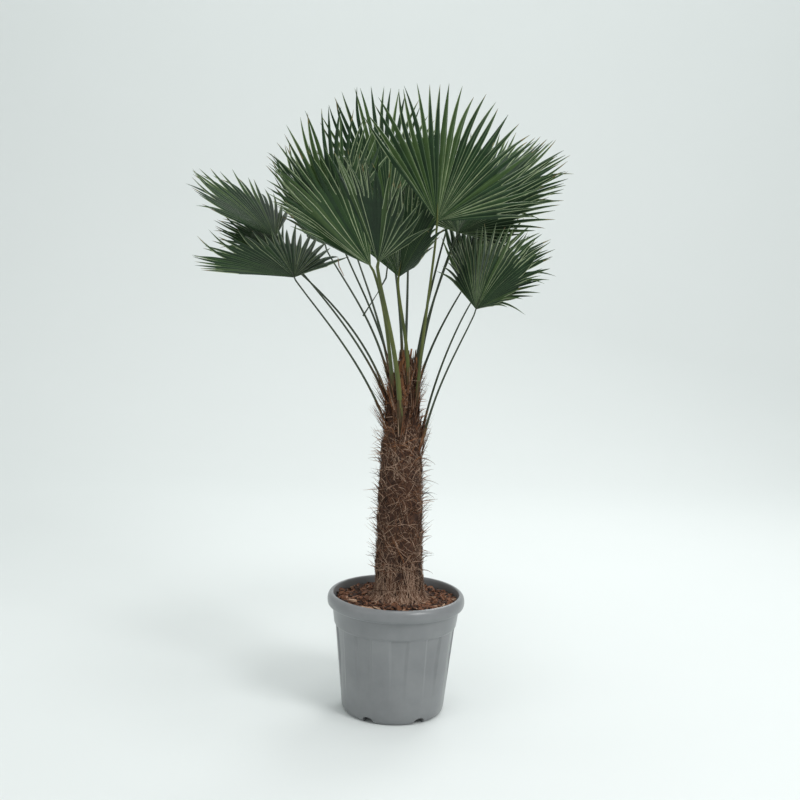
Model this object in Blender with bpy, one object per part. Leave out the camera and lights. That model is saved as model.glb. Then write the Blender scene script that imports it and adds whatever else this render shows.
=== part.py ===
# A young windmill palm in a round nursery pot.
# Metres, z up, the pot's flat underside at z = 0 and its axis on x = y = 0.
# Front of the plant is -y.
import bpy
import numpy as np
from math import sin, cos, pi, radians
from mathutils import Vector
from mathutils.bvhtree import BVHTree

for old in list(bpy.data.objects):
    bpy.data.objects.remove(old, do_unlink=True)


# materials

def material(name, colour, rough, coat=0.0):
    mat = bpy.data.materials.new(name)
    mat.use_nodes = True
    shader = mat.node_tree.nodes["Principled BSDF"]
    shader.inputs["Base Color"].default_value = (colour[0], colour[1], colour[2], 1.0)
    shader.inputs["Roughness"].default_value = rough
    shader.inputs["Coat Weight"].default_value = coat
    mat.diffuse_color = (colour[0], colour[1], colour[2], 1.0)
    return mat


# mesh helpers

def add_body(name, points, faces, mat, smooth=False):
    mesh = bpy.data.meshes.new(name)
    mesh.from_pydata([tuple(map(float, p)) for p in points], [], faces)
    mesh.validate()
    mesh.materials.append(mat)
    body = bpy.data.objects.new(name, mesh)
    bpy.context.scene.collection.objects.link(body)
    for face in mesh.polygons:
        face.use_smooth = smooth
    return body


def ring_faces(first, second, count):
    """Quads between two rings of points, the second above or inside the first."""
    faces = []
    for i in range(count):
        j = (i + 1) % count
        faces.append((first + i, first + j, second + j, second + i))
    return faces


def unit(v):
    return v / np.linalg.norm(v)


# pot

# clear space left between a piece and the one that carries it
FIT_GAP = 0.0003

FLUTES = 10
NOTCHES = 6
COLLAR_FOOT = 0.247
FLUTE_FOOT = 0.060
FLUTE_DEPTH = 0.0028
FLUTE_TURN = 22.5

# outer wall from the underside's edge up over the rim: radius, height
POT_OUTSIDE = [
    (0.1300, 0.0000), (0.1362, 0.0022), (0.1408, 0.0095), (0.1432, 0.0220),
    (0.1467, 0.0600), (0.1560, 0.1500), (0.1645, 0.2350), (0.1660, 0.2455),
    (0.1690, 0.2485), (0.1700, 0.2540), (0.1752, 0.2930), (0.1775, 0.2985),
    (0.1845, 0.2990), (0.1885, 0.3030), (0.1900, 0.3120), (0.1893, 0.3220),
    (0.1850, 0.3305), (0.1785, 0.3348), (0.1742, 0.3338), (0.1728, 0.3290),
]
# inner wall from the rim down to the floor
POT_INSIDE = [
    (0.1700, 0.2850), (0.1610, 0.2400), (0.1515, 0.1500), (0.1405, 0.0400),
    (0.1350, 0.0150), (0.1250, 0.0060),
]


def flute_depth(turn, radius, height):
    """How far the wall is set back at this bearing, in metres."""
    if height >= COLLAR_FOOT - 0.004 or height <= FLUTE_FOOT + 0.001:
        return 0.0
    pitch = 360.0 / FLUTES
    off = (turn - FLUTE_TURN + pitch / 2) % pitch - pitch / 2
    half = 7.6
    if abs(off) > half + 1.0:
        return 0.0
    fade = min(1.0, (height - FLUTE_FOOT) / (0.62 * (COLLAR_FOOT - FLUTE_FOOT)))
    return FLUTE_DEPTH * fade


def make_pot(mat):
    pitch = 360.0 / FLUTES
    bearings = []
    for k in range(FLUTES):
        middle = FLUTE_TURN + k * pitch
        for off in (-9.4, -7.6, 0.0, 7.6, 9.4, 18.0):
            bearings.append(middle + off)
    count = len(bearings)
    points = []
    faces = []
    for radius, height in POT_OUTSIDE + POT_INSIDE:
        for turn in bearings:
            r = radius
            if (radius, height) in POT_OUTSIDE:
                r -= flute_depth(turn, radius, height)
            points.append((r * cos(radians(turn)), r * sin(radians(turn)), height))
    rows = len(POT_OUTSIDE) + len(POT_INSIDE)
    for row in range(rows - 1):
        faces += ring_faces(row * count, (row + 1) * count, count)
    points.append((0.0, 0.0, 0.0050))
    top = len(points) - 1
    last = (rows - 1) * count
    points.append((0.0, 0.0, 0.0))
    low = len(points) - 1
    for i in range(count):
        j = (i + 1) % count
        faces.append((last + i, last + j, top))
        faces.append((j, i, low))
    pot = add_body("pot", points, faces, mat, smooth=True)
    cut_notches(pot)
    return pot


def cut_notches(pot):
    """Drain openings through the rounded lower edge."""
    points = []
    faces = []
    arch = [(-0.0155, -0.004), (0.0155, -0.004), (0.0155, 0.0085), (0.0105, 0.0150),
            (0.0, 0.0172), (-0.0105, 0.0150), (-0.0155, 0.0085)]
    for k in range(NOTCHES):
        turn = radians(-90.0 + 32.0 + k * 360.0 / NOTCHES)
        out = np.array([cos(turn), sin(turn), 0.0])
        side = np.array([-sin(turn), cos(turn), 0.0])
        base = len(points)
        for reach in (0.1335, 0.160):
            for across, height in arch:
                points.append(out * reach + side * across + np.array([0, 0, height]))
        n = len(arch)
        for i in range(n):
            j = (i + 1) % n
            faces.append((base + i, base + n + i, base + n + j, base + j))
        faces.append(tuple(base + i for i in range(n)))
        faces.append(tuple(base + n + i for i in reversed(range(n))))
    cutter = add_body("pot_notch_cutter", points, faces, pot.data.materials[0])
    cutter.hide_render = True
    cutter.display_type = "WIRE"
    cut = pot.modifiers.new("notches", "BOOLEAN")
    cut.operation = "DIFFERENCE"
    cut.object = cutter
    cut.solver = "EXACT"


# soil

SOIL_TOP = 0.3200
SOIL_EDGE = 0.3110


def make_soil(mat):
    count = 40
    rows = [
        (0.1240, 0.0070), (0.1330, 0.0160), (0.1392, 0.0400), (0.1500, 0.1500),
        (0.1595, 0.2400), (0.1685, 0.2850), (0.1700, SOIL_EDGE - 0.004), (0.1680, SOIL_EDGE),
        (0.1300, 0.3150), (0.1020, SOIL_TOP),
    ]
    points = []
    faces = []
    for radius, height in rows:
        for i in range(count):
            turn = 2 * pi * i / count
            lump = 0.0
            if radius == 0.1300 or height == SOIL_EDGE:
                lump = 0.0018 * sin(3 * turn + 0.7) + 0.0012 * sin(7 * turn + 2.0)
            points.append((radius * cos(turn), radius * sin(turn), height + lump))
    for row in range(len(rows) - 1):
        faces += ring_faces(row * count, (row + 1) * count, count)
    points.append((0.0, 0.0, SOIL_TOP))
    points.append((0.0, 0.0, 0.0070))
    top = len(points) - 2
    last = (len(rows) - 1) * count
    for i in range(count):
        j = (i + 1) % count
        faces.append((last + i, last + j, top))
        faces.append((j, i, top + 1))
    return add_body("soil", points, faces, mat)


# trunk

TRUNK_FOOT = SOIL_TOP + FIT_GAP
# height, middle x, middle y, radius
TRUNK_ROWS = [
    (TRUNK_FOOT, 0.007, 0.000, 0.0850), (0.333, 0.007, 0.000, 0.0760),
    (0.350, 0.007, 0.000, 0.0695), (0.400, 0.006, 0.000, 0.0660),
    (0.470, 0.004, 0.000, 0.0640), (0.540, 0.003, 0.000, 0.0635),
    (0.610, 0.002, 0.000, 0.0615), (0.680, 0.001, 0.000, 0.0580),
    (0.740, 0.000, 0.000, 0.0540), (0.790, 0.000, 0.000, 0.0490),
    (0.840, 0.000, 0.000, 0.0450), (0.885, 0.000, 0.000, 0.0400),
    (0.920, 0.002, 0.000, 0.0340), (0.950, 0.005, 0.000, 0.0270),
    (0.975, 0.008, 0.000, 0.0200), (0.992, 0.010, 0.000, 0.0110),
]


def trunk_centre(height):
    heights = [row[0] for row in TRUNK_ROWS]
    return (np.interp(height, heights, [row[1] for row in TRUNK_ROWS]),
            np.interp(height, heights, [row[2] for row in TRUNK_ROWS]))


def trunk_lump(height, turn):
    """Share of the row's radius at this bearing: the old leaf bases show as low swellings."""
    if height == TRUNK_FOOT:
        return 0.98 + 0.05 * sin(7 * turn)
    return 0.98 + 0.030 * sin(5 * turn + height * 40.0) + 0.018 * sin(8 * turn - height * 63.0)


def trunk_surface(height, turn):
    heights = [row[0] for row in TRUNK_ROWS]
    return np.interp(height, heights, [row[3] * trunk_lump(row[0], turn) for row in TRUNK_ROWS])


def make_trunk(mat):
    count = 26
    points = []
    faces = []
    for height, x, y, radius in TRUNK_ROWS:
        for i in range(count):
            turn = 2 * pi * i / count
            r = radius * trunk_lump(height, turn)
            points.append((x + r * cos(turn), y + r * sin(turn), height))
    for row in range(len(TRUNK_ROWS) - 1):
        faces += ring_faces(row * count, (row + 1) * count, count)
    faces.append(tuple(reversed(range(count))))
    last = (len(TRUNK_ROWS) - 1) * count
    faces.append(tuple(range(last, last + count)))
    return add_body("trunk", points, faces, mat, smooth=True)


# fronds

# Each frond: hub = where the blade meets its stalk; az and el = bearing and height in degrees
# of its middle leaflet; roll turns the blade about that leaflet; spread = how far it opens to
# each side; fold lifts each lobe toward the upper face; bow and sag = how far the tips bend
# back and hang, as shares of the reach; short = how much shorter the last leaflets are;
# foot = height and bearing where the stalk leaves the trunk, lean = its angle there.

def frond(hub, az, el, roll, spread, fold, bow, sag, reach, short, foot, lean, thick):
    return {"hub": np.array(hub), "az": az, "el": el, "roll": roll,
            "spread_l": spread[0], "spread_r": spread[1], "fold_l": fold[0], "fold_r": fold[1],
            "bow": bow, "sag": sag, "reach": reach, "short": short,
            "foot_z": foot[0], "foot_az": foot[1], "lean": lean, "thick": thick}


FRONDS = [
    frond((0.070, -0.160, 1.357), 106, 85, 16, (44, 87), (5, 48), 0.006, 0.062, 0.374, 0.33,
          (0.860, -40), 3, 0.0055),
    frond((0.179, -0.160, 1.136), 25, 70, 38, (65, 81), (-30, 53), 0.071, 0.097, 0.262, 0.32,
          (0.745, -22), 10, 0.0042),
    frond((-0.093, -0.200, 1.239), -45, 130, -5, (26, 72), (12, -17), 0.078, -0.018, 0.371, 0.30,
          (0.880, -125), 10, 0.0060),
    frond((-0.289, -0.170, 1.202), 114, 28, -13, (84, 51), (17, -39), 0.038, 0.036, 0.309, 0.23,
          (0.815, 200), 24, 0.0042),
    frond((-0.362, 0.060, 1.294), 118, 37, 16, (90, 35), (10, -13), 0.062, 0.034, 0.319, 0.29,
          (0.872, 177), 24, 0.0042),
    frond((-0.185, 0.030, 1.317), 125, 85, 6, (78, 40), (-11, 4), 0.030, 0.013, 0.342, 0.53,
          (0.930, 165), 12, 0.0042),
    frond((0.133, 0.040, 1.326), 42, 55, -1, (82, 99), (13, 1), 0.074, 0.066, 0.363, 0.34,
          (0.920, 15), 4, 0.0042),
    frond((-0.075, -0.250, 1.250), -84, 47, -49, (34, 42), (5, 5), 0.047, -0.006, 0.331, 0.10,
          (0.790, -95), 3, 0.0070),
    frond((0.173, 0.250, 1.374), 35, 49, 15, (60, 80), (5, 14), 0.046, 0.055, 0.350, 0.32,
          (0.900, 55), 14, 0.0042),
    frond((-0.061, 0.280, 1.366), 132, 79, -1, (45, 42), (5, 5), 0.020, 0.020, 0.389, 0.12,
          (0.930, 100), 12, 0.0042),
    frond((-0.349, 0.170, 1.237), 161, 37, -13, (65, 54), (5, 8), 0.017, 0.085, 0.230, 0.29,
          (0.885, 186), 20, 0.0042),
    frond((-0.238, 0.250, 1.275), 173, 69, -18, (75, 60), (14, 18), 0.040, 0.021, 0.315, 0.34,
          (0.890, 140), 16, 0.0042),
    frond((0.172, -0.030, 1.143), 14, 57, 35, (60, 73), (26, 25), 0.032, 0.126, 0.275, 0.31,
          (0.775, 12), 10, 0.0042),
    frond((0.154, 0.130, 1.167), 48, 48, 27, (42, 55), (17, 16), 0.071, 0.073, 0.339, 0.31,
          (0.880, 40), 14, 0.0042),
    frond((-0.022, -0.050, 1.206), 42, 79, 5, (61, 78), (29, 37), 0.011, 0.082, 0.310, 0.31,
          (0.915, -75), 2, 0.0055),
    frond((-0.167, 0.400, 1.294), 116, 67, 3, (70, 50), (8, 4), 0.050, 0.025, 0.315, 0.41,
          (0.860, 122), 16, 0.0042),
    frond((-0.002, 0.460, 1.316), 96, 60, -11, (50, 70), (8, 8), 0.050, 0.050, 0.384, 0.36,
          (0.880, 88), 18, 0.0042),
    frond((0.125, 0.360, 1.380), 63, 56, 8, (71, 79), (18, 9), 0.050, 0.033, 0.326, 0.28,
          (0.850, 68), 16, 0.0042),
]

LEAFLET_PITCH = 4.7
LEAF_THICK = 0.0042
SPLIT = 0.60
CLEAR = 0.0050


def fan_axes(f):
    """Middle leaflet's direction, the blade's side and its upper normal."""
    az, el, roll = radians(f["az"]), radians(f["el"]), radians(f["roll"])
    along = np.array([cos(el) * cos(az), cos(el) * sin(az), sin(el)])
    level = np.array([-sin(el) * cos(az), -sin(el) * sin(az), cos(el)])
    across = np.cross(along, level)
    up = level * cos(roll) + across * sin(roll)
    return along, np.cross(along, up), up


def leaf_length(q, f):
    wide = abs(q) / max(f["spread_l"], f["spread_r"])
    return f["reach"] * (1.0 - f["short"] * wide ** 2.2)


def blade_point(q, r, f):
    """Point of the blade at angle q in degrees and r metres from the hub."""
    along, side, up = fan_axes(f)
    fold = f["fold_r"] if q > 0 else f["fold_l"]
    turn = radians(fold) * min(1.0, abs(q) / 90.0)
    hand = 1.0 if q > 0 else -1.0
    g = radians(q)
    d = along * cos(g) + abs(sin(g)) * (side * hand * cos(turn) + up * sin(turn))
    size = f["reach"]
    bow = f["bow"] * (r / size) ** 2 * size
    sag = f["sag"] * (r / size) ** 2.5 * size
    return f["hub"] + d * r - up * bow - np.array([0, 0, sag])


def blade_normal(q, r, f):
    a = blade_point(q, r + 0.002, f) - blade_point(q, r, f)
    b = blade_point(q + 1.0, max(r, 0.02), f) - blade_point(q - 1.0, max(r, 0.02), f)
    return unit(np.cross(a, b))


def leaflet_edges(f):
    """Angles of the lines between the leaflets, in degrees."""
    count = int(round((f["spread_l"] + f["spread_r"]) / LEAFLET_PITCH))
    return np.linspace(-f["spread_l"], f["spread_r"], count + 1)


def split_length(q, f):
    return SPLIT * leaf_length(q, f)


def core_tree(f):
    """Search tree of the undivided inner part of a blade."""
    points = [f["hub"]]
    faces = []
    for q in leaflet_edges(f):
        r = split_length(q, f)
        points.append(blade_point(q, r * 0.5, f))
        points.append(blade_point(q, r, f))
    for k in range(1, len(points) - 2, 2):
        faces.append((0, k, k + 2))
        faces.append((k, k + 1, k + 3, k + 2))
    return BVHTree.FromPolygons([Vector(p) for p in points], faces)


def free_reach(q, half_wide, f, others):
    """How far the leaflet at this angle goes before it comes too near another part."""
    length = leaf_length(q, f)
    start = split_length(q, f)
    steps = int((length - start) / 0.006)
    for i in range(1, steps + 1):
        r = start + (length - start) * i / steps
        share = (r - start) / (length - start)
        across = unit(blade_point(q + 0.5, r, f) - blade_point(q - 0.5, r, f))
        for side in (-1.0, 0.0, 1.0):
            p = blade_point(q, r, f) + across * side * half_wide * (1.0 - share * 0.8)
            for tree in others:
                if tree.find_nearest(Vector(p), CLEAR)[0] is not None:
                    return max(start + 0.018, r - 0.010)
    return length


def make_blade(name, f, mat, others):
    qs = leaflet_edges(f)
    n = len(qs) - 1
    half = LEAF_THICK / 2
    points = []
    faces = []

    def pair(p, m):
        points.append(p + m * half)
        points.append(p - m * half)
        return len(points) - 2

    up = fan_axes(f)[2]
    hub = pair(f["hub"], up if np.dot(blade_normal(0.0, 0.05, f), up) > 0 else -up)
    edge = []
    for q in qs:
        r = split_length(q, f)
        edge.append(pair(blade_point(q, r, f), blade_normal(q, r, f)))
    for k in range(n):
        q = (qs[k] + qs[k + 1]) / 2
        wide = np.linalg.norm(points[edge[k + 1]] - points[edge[k]])
        length = free_reach(q, wide / 2, f, others)
        r_split = split_length(q, f)
        r_mid = r_split + (length - r_split) * 0.55
        m = blade_normal(q, r_mid, f)
        centre = blade_point(q, r_mid, f)
        across = unit(blade_point(q + 0.5, r_mid, f) - blade_point(q - 0.5, r_mid, f))
        left = pair(centre - across * wide * 0.32, m)
        right = pair(centre + across * wide * 0.32, m)
        tip = pair(blade_point(q, length, f), blade_normal(q, length, f))
        a, b = edge[k], edge[k + 1]
        faces.append((hub, a, b))
        faces.append((hub + 1, b + 1, a + 1))
        faces.append((a, left, right, b))
        faces.append((a + 1, b + 1, right + 1, left + 1))
        faces.append((left, tip, right))
        faces.append((left + 1, right + 1, tip + 1))
        faces.append((a, a + 1, left + 1, left))
        faces.append((left, left + 1, tip + 1, tip))
        faces.append((right, right + 1, b + 1, b))
        faces.append((tip, tip + 1, right + 1, right))
    a, b = edge[0], edge[-1]
    faces.append((hub, hub + 1, a + 1, a))
    faces.append((b, b + 1, hub + 1, hub))
    return add_body(name, points, faces, mat)


def tree_of(body):
    mesh = body.data
    return BVHTree.FromPolygons([v.co.copy() for v in mesh.vertices],
                                [tuple(face.vertices) for face in mesh.polygons])


def stalk_path(f, steps):
    """Points from the trunk to the blade along the stalk."""
    z0 = f["foot_z"]
    bearing = radians(f["foot_az"])
    out = np.array([cos(bearing), sin(bearing), 0.0])
    cx, cy = trunk_centre(z0)
    start = np.array([cx, cy, z0]) + out * (trunk_surface(z0, bearing) + 0.95 * f["thick"] + FIT_GAP)
    along, side, up = fan_axes(f)
    near = f["hub"] - along * 0.014
    lean = radians(f["lean"])
    go = np.array([0, 0, cos(lean)]) + out * sin(lean)
    span = np.linalg.norm(near - start)
    p1 = start + go * span * 0.40
    arrive = unit(0.55 * unit(near - p1) + 0.45 * along)
    p2 = near - arrive * span * 0.22
    path = []
    for t in np.linspace(0.0, 1.0, steps):
        path.append((1 - t) ** 3 * start + 3 * (1 - t) ** 2 * t * p1
                    + 3 * (1 - t) * t ** 2 * p2 + t ** 3 * near)
    path.append(f["hub"] - along * 2 * FIT_GAP)
    return path, up


def make_stalk(name, f, mat):
    path, up = stalk_path(f, 10)
    sides = 6
    points = []
    faces = []
    total = len(path)
    ref = np.array([cos(radians(f["foot_az"])), sin(radians(f["foot_az"])), 0.0])
    for k in range(total):
        if k == 0:
            ahead = np.array([0, 0, 1.0])
        elif k == total - 1:
            ahead = path[k] - path[k - 1]
        else:
            ahead = path[k + 1] - path[k - 1]
        ahead = unit(ahead)
        share = k / (total - 1)
        r = f["thick"] * (1.0 - 0.52 * share ** 0.7)
        if k == total - 1:
            r = 0.0012
        flat = unit(np.cross(ahead, ref))
        rise = np.cross(flat, ahead)
        for i in range(sides):
            turn = 2 * pi * (i + 0.5) / sides
            points.append(path[k] + flat * r * 1.15 * cos(turn) + rise * r * 0.9 * sin(turn))
    for row in range(total - 1):
        faces += ring_faces(row * sides, (row + 1) * sides, sides)
    faces.append(tuple(reversed(range(sides))))
    last = (total - 1) * sides
    faces.append(tuple(range(last, last + sides)))
    return add_body(name, points, faces, mat, smooth=True)


def outward(body):
    """Turn the faces outward where a body's enclosed volume comes out negative."""
    mesh = body.data
    volume = 0.0
    for face in mesh.polygons:
        p = [np.array(mesh.vertices[v].co) for v in face.vertices]
        for i in range(1, len(p) - 1):
            volume += np.dot(p[0], np.cross(p[i], p[i + 1]))
    if volume < 0:
        mesh.flip_normals()


pot_plastic = material("pot_plastic", (0.185, 0.200, 0.210), 0.45)
bark_mulch = material("bark_mulch", (0.120, 0.065, 0.040), 0.95)
trunk_fibre = material("trunk_fibre", (0.110, 0.065, 0.042), 0.95)
stalk_green = material("stalk_green", (0.120, 0.180, 0.060), 0.55)
leaf_green = material("leaf_green", (0.035, 0.085, 0.030), 0.5)

make_pot(pot_plastic)
make_soil(bark_mulch)
trunk = make_trunk(trunk_fibre)
solid_trees = [tree_of(trunk)]
for number, row in enumerate(FRONDS, 1):
    solid_trees.append(tree_of(make_stalk("stalk_%02d" % number, row, stalk_green)))
cores = [core_tree(row) for row in FRONDS]
blade_trees = []
for number, row in enumerate(FRONDS, 1):
    others = cores[:number - 1] + cores[number:] + blade_trees
    others += solid_trees[:number] + solid_trees[number + 1:]
    blade = make_blade("frond_%02d" % number, row, leaf_green, others)
    blade_trees.append(tree_of(blade))
for body in bpy.data.objects:
    outward(body)
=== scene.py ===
# Looks of the young windmill palm in its nursery pot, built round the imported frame.
# Metres, z up, the pot's underside at z = 0; the photograph's view is from -y.
from math import cos, pi, radians, sin

import bmesh
import bpy
import numpy as np
from mathutils import Matrix, Vector
from mathutils.kdtree import KDTree


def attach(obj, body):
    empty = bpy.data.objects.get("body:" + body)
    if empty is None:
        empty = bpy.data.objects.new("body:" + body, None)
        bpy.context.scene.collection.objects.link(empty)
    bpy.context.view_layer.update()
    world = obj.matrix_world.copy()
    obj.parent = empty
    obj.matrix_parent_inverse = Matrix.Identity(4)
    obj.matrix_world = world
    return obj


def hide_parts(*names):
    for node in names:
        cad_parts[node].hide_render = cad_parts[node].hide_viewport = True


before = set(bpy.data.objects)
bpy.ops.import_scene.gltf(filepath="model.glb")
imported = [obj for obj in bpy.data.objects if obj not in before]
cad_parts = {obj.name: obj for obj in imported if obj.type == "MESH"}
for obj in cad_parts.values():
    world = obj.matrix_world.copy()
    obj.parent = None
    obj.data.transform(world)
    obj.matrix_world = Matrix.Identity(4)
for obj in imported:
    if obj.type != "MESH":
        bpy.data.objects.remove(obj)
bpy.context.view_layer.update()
rng = np.random.default_rng(11)
scene = bpy.context.scene

FIT_GAP = 0.0003


def unit(v):
    return v / np.linalg.norm(v)


# camera at the photograph's viewing angle

# rounded results of a fit to the pot's ellipses, at a chosen distance
CAMERA_PLACE = (-0.008, -3.600, 1.390)
CAMERA_TILT = 8.2
CAMERA_ROLL = 2.0
CAMERA_LENS = 60.3
SENSOR_WIDTH = 36.0

tilt, roll = radians(CAMERA_TILT), radians(CAMERA_ROLL)
ahead = Vector((0.0, cos(tilt), -sin(tilt)))
over = Vector((0.0, sin(tilt), cos(tilt)))
level = Vector((1.0, 0.0, 0.0))
right = level * cos(roll) + over * sin(roll)
above = over * cos(roll) - level * sin(roll)
turned = Matrix((right, above, -ahead)).transposed().to_4x4()
turned.translation = Vector(CAMERA_PLACE)
camera = bpy.data.objects.new("camera", bpy.data.cameras.new("camera"))
camera.data.lens = CAMERA_LENS
camera.data.sensor_width = SENSOR_WIDTH
camera.data.clip_end = 60.0
camera.matrix_world = turned
scene.collection.objects.link(camera)
scene.camera = camera
scene.view_settings.view_transform = "Standard"


# studio: a pale floor that sweeps up behind, soft light from the upper right

BACKDROP = (0.800, 0.835, 0.828)
WORLD_STRENGTH = 0.64


def area_light(name, place, aim, size, power):
    lamp = bpy.data.objects.new(name, bpy.data.lights.new(name, "AREA"))
    lamp.data.shape = "RECTANGLE"
    lamp.data.size = size[0]
    lamp.data.size_y = size[1]
    lamp.data.energy = power
    lamp.location = place
    lamp.rotation_euler = (Vector(aim) - Vector(place)).to_track_quat("-Z", "Y").to_euler()
    scene.collection.objects.link(lamp)


world = bpy.data.worlds.new("studio")
scene.world = world
world.use_nodes = True
sky = world.node_tree.nodes["Background"]
sky.inputs["Color"].default_value = (*BACKDROP, 1.0)
sky.inputs["Strength"].default_value = WORLD_STRENGTH
area_light("key", (2.6, -2.6, 3.6), (0.0, 0.0, 0.9), (1.5, 1.5), 84.0)
area_light("fill", (-3.2, -2.4, 2.2), (0.0, 0.0, 0.9), (2.2, 2.2), 16.0)
area_light("back", (1.2, 2.8, 3.2), (0.0, 0.0, 1.1), (1.8, 1.2), 36.0)
area_light("overhead", (0.5, -0.9, 4.4), (0.0, 0.0, 0.5), (1.4, 0.9), 30.0)
area_light("backdrop", (0.0, 1.6, 5.4), (0.0, 5.0, 1.8), (7.0, 1.6), 78.0)


# materials

def shade(name, colour, rough, vary=None, scale=20.0, bump=0.0, bump_scale=200.0, bump_size=0.001,
          stretch=(1.0, 1.0, 1.0), gloss=0.5):
    """A finish whose colour drifts between two tones and whose surface has fine relief."""
    mat = bpy.data.materials.new(name)
    mat.use_nodes = True
    nodes = mat.node_tree.nodes
    links = mat.node_tree.links
    shader = nodes["Principled BSDF"]
    shader.inputs["Base Color"].default_value = (*colour, 1.0)
    shader.inputs["Roughness"].default_value = rough
    shader.inputs["Specular IOR Level"].default_value = gloss
    place = nodes.new("ShaderNodeTexCoord")
    mapping = nodes.new("ShaderNodeMapping")
    mapping.inputs["Scale"].default_value = stretch
    links.new(place.outputs["Object"], mapping.inputs["Vector"])
    if vary:
        drift = nodes.new("ShaderNodeTexNoise")
        drift.inputs["Scale"].default_value = scale
        drift.inputs["Detail"].default_value = 6.0
        drift.inputs["Roughness"].default_value = 0.6
        ramp = nodes.new("ShaderNodeValToRGB")
        ramp.color_ramp.elements[0].position = 0.35
        ramp.color_ramp.elements[0].color = (*vary, 1.0)
        ramp.color_ramp.elements[1].position = 0.65
        ramp.color_ramp.elements[1].color = (*colour, 1.0)
        links.new(mapping.outputs["Vector"], drift.inputs["Vector"])
        links.new(drift.outputs["Fac"], ramp.inputs["Fac"])
        links.new(ramp.outputs["Color"], shader.inputs["Base Color"])
    if bump:
        grain = nodes.new("ShaderNodeTexNoise")
        grain.inputs["Scale"].default_value = bump_scale
        grain.inputs["Detail"].default_value = 4.0
        relief = nodes.new("ShaderNodeBump")
        relief.inputs["Strength"].default_value = bump
        relief.inputs["Distance"].default_value = bump_size
        links.new(mapping.outputs["Vector"], grain.inputs["Vector"])
        links.new(grain.outputs["Fac"], relief.inputs["Height"])
        links.new(relief.outputs["Normal"], shader.inputs["Normal"])
    return mat


POT_GREY = shade("pot_grey", (0.236, 0.244, 0.250), 0.30, vary=(0.198, 0.205, 0.212), scale=9.0,
                 bump=0.25, bump_scale=420.0, bump_size=0.0006)
SOIL_DARK = shade("soil_dark", (0.050, 0.024, 0.014), 0.95, vary=(0.022, 0.011, 0.007), scale=60.0,
                  bump=0.8, bump_scale=240.0, bump_size=0.002)
# slots of the bark chips
CHIP_BROWN, CHIP_RED, CHIP_DARK, CHIP_PALE = range(4)
CHIP_TONES = [
    shade("chip_brown", (0.230, 0.100, 0.050), 0.9, vary=(0.085, 0.036, 0.020), scale=110.0, bump=0.6),
    shade("chip_red", (0.300, 0.140, 0.072), 0.9, vary=(0.120, 0.050, 0.026), scale=110.0, bump=0.6),
    shade("chip_dark", (0.055, 0.027, 0.017), 0.9, vary=(0.030, 0.015, 0.010), scale=110.0, bump=0.6),
    shade("chip_pale", (0.480, 0.320, 0.215), 0.85, vary=(0.330, 0.200, 0.130), scale=90.0, bump=0.5),
]
TRUNK_DARK = shade("trunk_dark", (0.072, 0.034, 0.020), 0.95, vary=(0.022, 0.010, 0.006), scale=70.0,
                   bump=0.9, bump_scale=260.0, bump_size=0.003, stretch=(1.0, 1.0, 0.25))
# slots of the fibres
DARK, BROWN, PALE, ORANGE = range(4)
FIBRE_TONES = [
    shade("fibre_dark", (0.052, 0.025, 0.015), 0.9, vary=(0.028, 0.013, 0.008), scale=90.0, gloss=0.2),
    shade("fibre_brown", (0.180, 0.090, 0.054), 0.9, vary=(0.105, 0.050, 0.030), scale=90.0, gloss=0.2),
    shade("fibre_pale", (0.480, 0.330, 0.240), 0.85, vary=(0.330, 0.210, 0.145), scale=90.0, gloss=0.2),
    shade("fibre_orange", (0.340, 0.150, 0.066), 0.85, vary=(0.190, 0.078, 0.036), scale=90.0, gloss=0.2),
]
# slots of the leaflets; the edge slot is a painted highlight
DEEP, GREEN, FRESH, EDGE_HIGHLIGHT, RIB, TIP = range(6)
LEAF_TONES = [
    shade("leaf_deep", (0.017, 0.047, 0.016), 0.50, vary=(0.010, 0.028, 0.010), scale=26.0,
          bump=0.15, bump_scale=500.0, bump_size=0.0004, gloss=0.3),
    shade("leaf_green", (0.028, 0.068, 0.018), 0.50, vary=(0.016, 0.044, 0.013), scale=26.0,
          bump=0.15, bump_scale=500.0, bump_size=0.0004, gloss=0.3),
    shade("leaf_fresh", (0.050, 0.094, 0.024), 0.50, vary=(0.032, 0.068, 0.018), scale=26.0,
          bump=0.15, bump_scale=500.0, bump_size=0.0004, gloss=0.3),
    # painted highlight: the pale tone of the leaflets' edge strips stands in for light catching the pleats
    shade("leaf_edge_highlight", (0.340, 0.400, 0.240), 0.5, vary=(0.200, 0.260, 0.130), scale=60.0, gloss=0.4),
    shade("leaf_rib", (0.075, 0.130, 0.045), 0.5, vary=(0.045, 0.085, 0.028), scale=60.0, gloss=0.4),
    shade("leaf_tip", (0.200, 0.190, 0.070), 0.6, vary=(0.120, 0.085, 0.040), scale=60.0, gloss=0.3),
]
STALK_OLIVE, STALK_GREY, STALK_FOOT = [
    shade("stalk_olive", (0.108, 0.122, 0.026), 0.50, vary=(0.052, 0.070, 0.018), scale=24.0,
          bump=0.3, bump_scale=300.0, bump_size=0.0005, stretch=(1.0, 1.0, 0.2), gloss=0.35),
    shade("stalk_grey", (0.048, 0.066, 0.036), 0.55, vary=(0.032, 0.046, 0.026), scale=24.0,
          bump=0.3, bump_scale=300.0, bump_size=0.0005, stretch=(1.0, 1.0, 0.2), gloss=0.35),
    shade("stalk_foot", (0.110, 0.080, 0.036), 0.75, vary=(0.060, 0.038, 0.020), scale=60.0,
          bump=0.5, bump_scale=260.0, bump_size=0.0008, stretch=(1.0, 1.0, 0.2), gloss=0.2),
]
FLOOR_PALE = shade("floor_pale", BACKDROP, 0.95, vary=(0.795, 0.830, 0.822), scale=1.5)


# mesh helpers

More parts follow.
